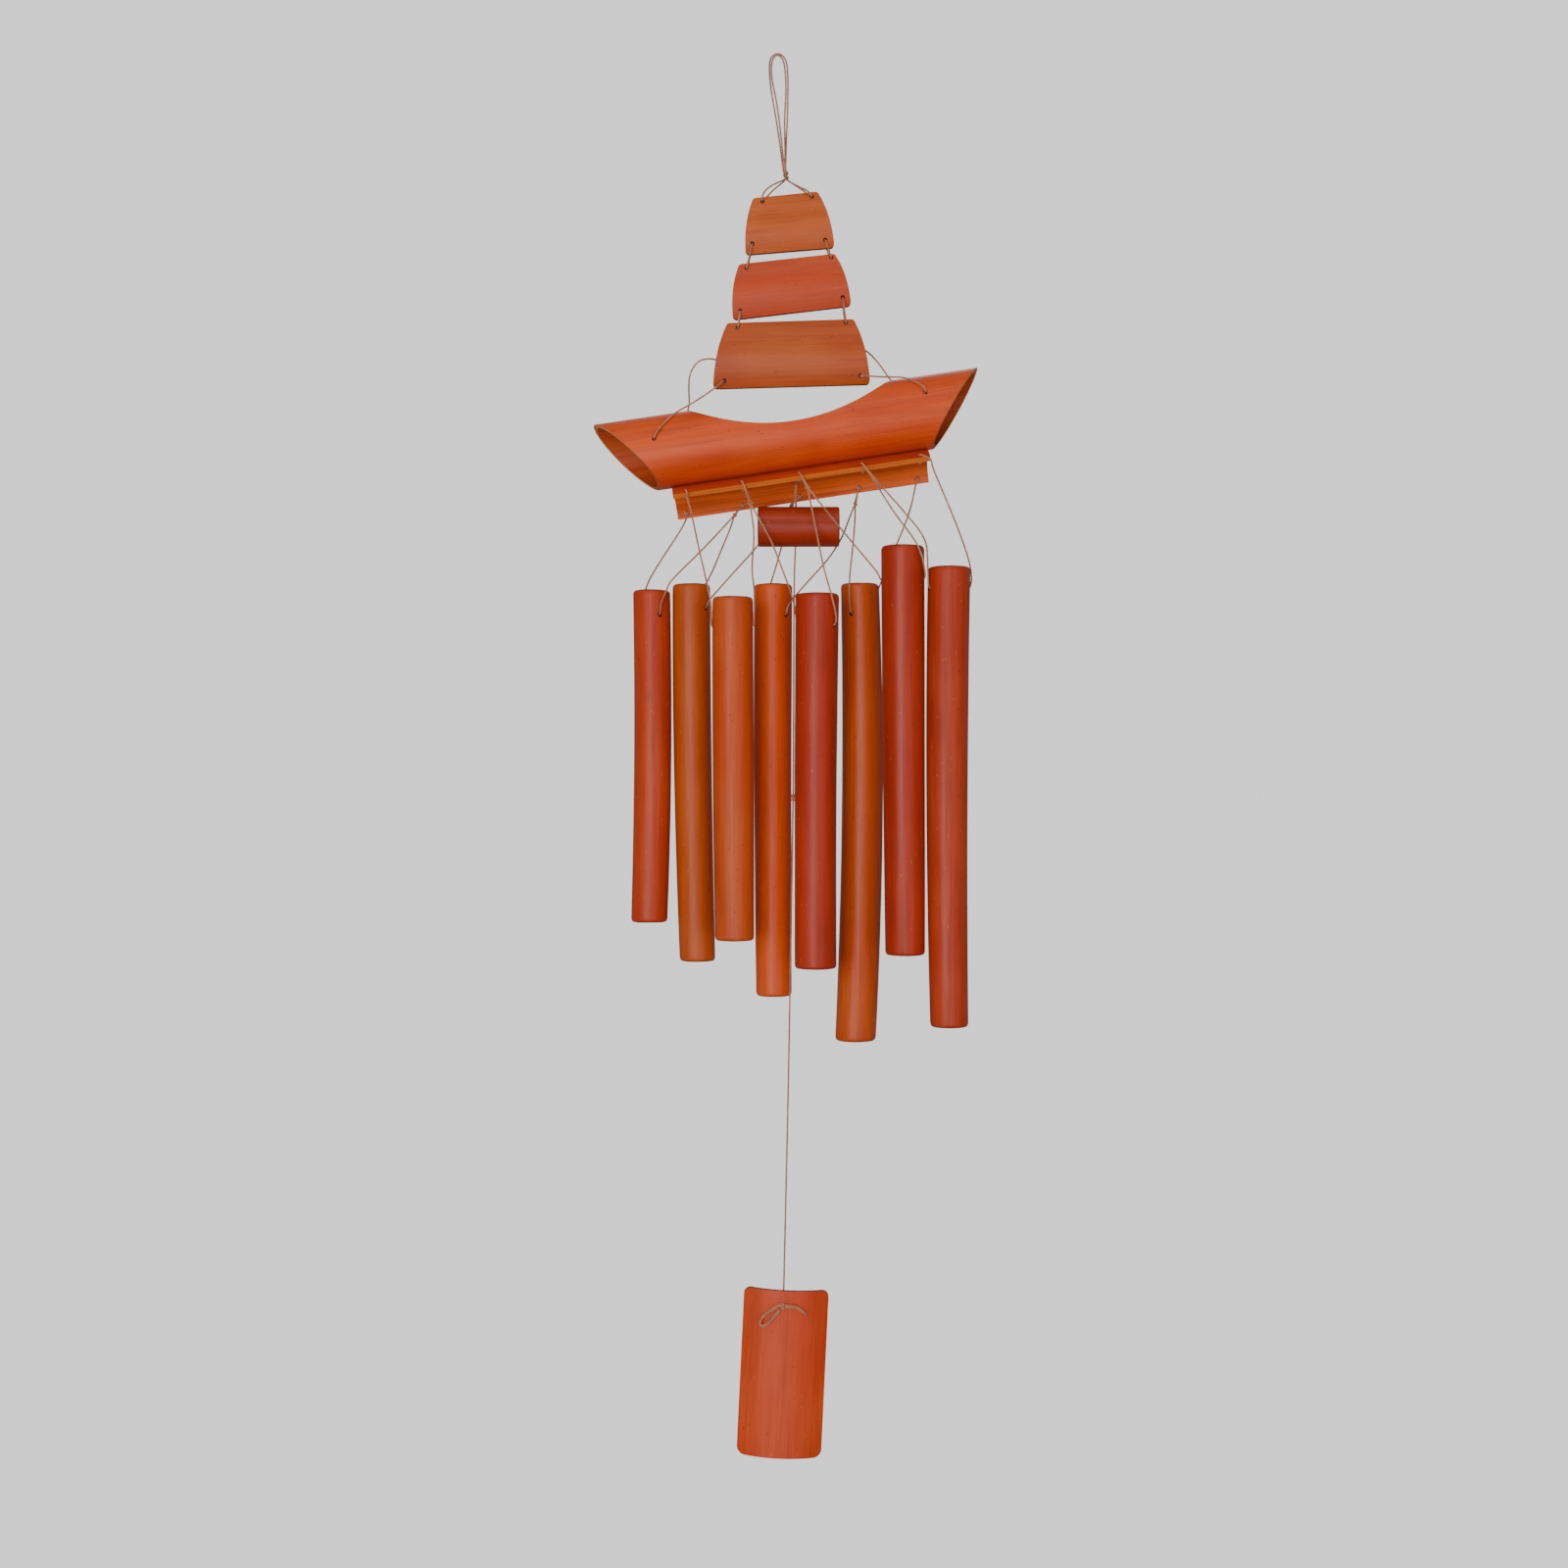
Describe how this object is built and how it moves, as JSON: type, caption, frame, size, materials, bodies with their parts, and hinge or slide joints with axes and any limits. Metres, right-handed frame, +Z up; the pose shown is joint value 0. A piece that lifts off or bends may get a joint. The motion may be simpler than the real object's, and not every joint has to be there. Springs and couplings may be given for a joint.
{
  "type": "wind chime",
  "caption": "Bamboo wind chime shaped as a sailing boat: curved sails on twine over a scooped hull, hanging tubes below, with a clapper and a long wind catcher.",
  "frame": {"origin": "inside top of the hanging loop, where a hook carries the chime", "axes": "+X to the boat's right as its sails face the viewer, +Y away from the viewer, +Z up"},
  "size_m": [0.1964, 0.0499, 0.7174],
  "materials": {
    "bamboo_orange_red": "satin varnish over red-orange stain",
    "bamboo_deep_red": "satin varnish over deep red stain",
    "bamboo_red": "satin varnish over red stain",
    "bamboo_orange": "satin varnish over orange stain",
    "bamboo_brown_orange": "satin varnish over brown-orange stain",
    "twine": "waxed two-ply twine"
  },
  "bodies": {
    "hanging_loop": {"loop_inner_strand": "twine", "loop_outer_strand": "twine", "top_knot": "twine"},
    "bridle": {"bridle_left": "twine", "bridle_right": "twine"},
    "sail_top": {"sail_top": "bamboo_brown_orange", "link_top_left": "twine", "link_top_right": "twine"},
    "sail_middle": {"sail_middle": "bamboo_orange_red", "link_low_left": "twine", "link_low_right": "twine"},
    "sail_bottom": {"sail_bottom": "bamboo_brown_orange"},
    "hull": {"hull": "bamboo_orange_red", "hanger": "bamboo_deep_red", "hull_tie_left": "twine", "hull_tie_right": "twine", "lead_front_1": "twine", "lead_front_2": "twine", "lead_front_3": "twine", "lead_front_4": "twine", "lead_front_5": "twine", "lead_rear_1": "twine", "lead_rear_2": "twine", "lead_rear_3": "twine", "lead_rear_4": "twine", "lead_rear_5": "twine", "clapper_cord_anchor": "twine"},
    "tube_1": {"tube_1": "bamboo_red", "string_1": "twine"},
    "tube_2": {"tube_2": "bamboo_brown_orange", "string_2": "twine"},
    "tube_3": {"tube_3": "bamboo_brown_orange", "string_3": "twine"},
    "tube_4": {"tube_4": "bamboo_orange", "string_4": "twine"},
    "tube_5": {"tube_5": "bamboo_red", "string_5": "twine"},
    "tube_6": {"tube_6": "bamboo_brown_orange", "string_6": "twine"},
    "tube_7": {"tube_7": "bamboo_deep_red", "string_7": "twine"},
    "tube_8": {"tube_8": "bamboo_red", "string_8": "twine"},
    "clapper_cord": {"clapper_cord": "twine"},
    "clapper": {"clapper": "bamboo_deep_red"},
    "catcher_cord_upper": {"catcher_cord_upper": "twine", "catcher_cord_knot": "twine"},
    "catcher_cord_lower": {"catcher_cord_lower": "twine"},
    "catcher": {"catcher": "bamboo_orange_red", "catcher_cord_end": "twine", "bow_knot": "twine", "bow_loop": "twine", "bow_tail": "twine"}
  },
  "joints": [
    {"name": "bridle_sway", "type": "hinge", "parent": "hanging_loop", "child": "bridle", "pos_m": [0.0039, 0, -0.0624], "axis": [0, 1, 0], "range_deg": [-15, 15]},
    {"name": "sail_top_swing", "type": "hinge", "parent": "bridle", "child": "sail_top", "pos_m": [0.0046, 0, -0.07305], "axis": [0.9951, 0, 0.0987], "range_deg": [-15, 15]},
    {"name": "sail_middle_swing", "type": "hinge", "parent": "sail_top", "child": "sail_middle", "pos_m": [0.00545, 0, -0.1055], "axis": [0.9922, 0, 0.1243], "range_deg": [-12, 12]},
    {"name": "sail_bottom_swing", "type": "hinge", "parent": "sail_middle", "child": "sail_bottom", "pos_m": [0.00695, 0, -0.1373], "axis": [0.9989, 0, 0.0471], "range_deg": [-12, 12]},
    {"name": "hull_swing", "type": "hinge", "parent": "sail_bottom", "child": "hull", "pos_m": [0.00725, 0, -0.16435], "axis": [0.9993, 0, 0.0362], "range_deg": [-10, 10]},
    {"name": "tube_1_swing", "type": "hinge", "parent": "hull", "child": "tube_1", "pos_m": [-0.0353, 0.01565, -0.23375], "axis": [0.9978, 0, 0.0668], "range_deg": [-6, 20]},
    {"name": "tube_2_swing", "type": "hinge", "parent": "hull", "child": "tube_2", "pos_m": [-0.0078, 0.0134, -0.23015], "axis": [0.9957, 0, 0.0925], "range_deg": [-6, 20]},
    {"name": "tube_3_swing", "type": "hinge", "parent": "hull", "child": "tube_3", "pos_m": [-0.03005, -0.014, -0.2285], "axis": [0.993, 0, -0.1183], "range_deg": [-20, 3]},
    {"name": "tube_4_swing", "type": "hinge", "parent": "hull", "child": "tube_4", "pos_m": [0.02345, 0.0134, -0.22715], "axis": [0.9999, 0, 0.0152], "range_deg": [-1.5, 20]},
    {"name": "tube_5_swing", "type": "hinge", "parent": "hull", "child": "tube_5", "pos_m": [0.00035, -0.014, -0.2265], "axis": [0.9655, 0, 0.2606], "range_deg": [-20, 3]},
    {"name": "tube_6_swing", "type": "hinge", "parent": "hull", "child": "tube_6", "pos_m": [0.05585, 0.01565, -0.22065], "axis": [0.9311, 0, 0.3648], "range_deg": [-3, 20]},
    {"name": "tube_7_swing", "type": "hinge", "parent": "hull", "child": "tube_7", "pos_m": [0.03175, -0.014, -0.2207], "axis": [0.9938, 0, 0.1114], "range_deg": [-20, 4]},
    {"name": "tube_8_swing", "type": "hinge", "parent": "hull", "child": "tube_8", "pos_m": [0.0631, -0.014, -0.21495], "axis": [0.9938, 0, 0.1116], "range_deg": [-20, 6]},
    {"name": "clapper_swing", "type": "hinge", "parent": "hull", "child": "clapper_cord", "pos_m": [0.009, 0, -0.2134], "axis": [1, 0, 0], "range_deg": [-1.6, 1.6]},
    {"name": "clapper_tilt", "type": "hinge", "parent": "clapper_cord", "child": "clapper", "pos_m": [0.009, 0, -0.2295], "axis": [0, 1, 0], "range_deg": [-10, 10]},
    {"name": "catcher_cord_sway", "type": "hinge", "parent": "clapper", "child": "catcher_cord_upper", "pos_m": [0.0089, 0, -0.2499], "axis": [0, 1, 0], "range_deg": [-8, 8]},
    {"name": "catcher_cord_bend", "type": "hinge", "parent": "catcher_cord_upper", "child": "catcher_cord_lower", "pos_m": [0.0077, 0, -0.378], "axis": [1, 0, 0], "range_deg": [-1.5, 1.5]},
    {"name": "catcher_spin", "type": "hinge", "parent": "catcher_cord_lower", "child": "catcher", "pos_m": [0.0029, 0, -0.6273], "axis": [0, 0, 1], "continuous": true}
  ]
}
